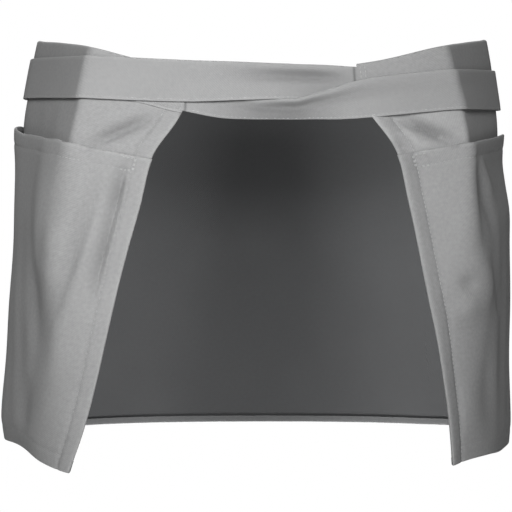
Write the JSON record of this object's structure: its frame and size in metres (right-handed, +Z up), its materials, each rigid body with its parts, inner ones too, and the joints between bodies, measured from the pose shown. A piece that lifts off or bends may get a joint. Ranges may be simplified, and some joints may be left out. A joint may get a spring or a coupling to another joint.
{
  "type": "waist apron",
  "caption": "Short waist apron in grey twill, worn form, open at the back, with large patch pockets over the sides and ties that cross behind and knot in front.",
  "frame": {"origin": "middle of the waist opening, half way up the waistband at the hips", "axes": "+X to the wearer's right, +Y to the wearer's front, +Z up"},
  "size_m": [0.3901, 0.262, 0.3193],
  "materials": {
    "panel_twill": "plain mid-grey cotton blend twill, matt",
    "band_twill": "the same twill, folded double and stitched",
    "pocket_twill": "the same twill, one layer with a hemmed mouth",
    "tie_twill": "the same twill, folded lengthwise and edge-stitched"
  },
  "bodies": {
    "root": {"apron_panel": "panel_twill", "waistband": "band_twill", "pocket_left": "pocket_twill", "pocket_right": "pocket_twill", "tie_left": "tie_twill", "tie_right": "tie_twill", "front_knot": "tie_twill"}
  },
  "joints": []
}
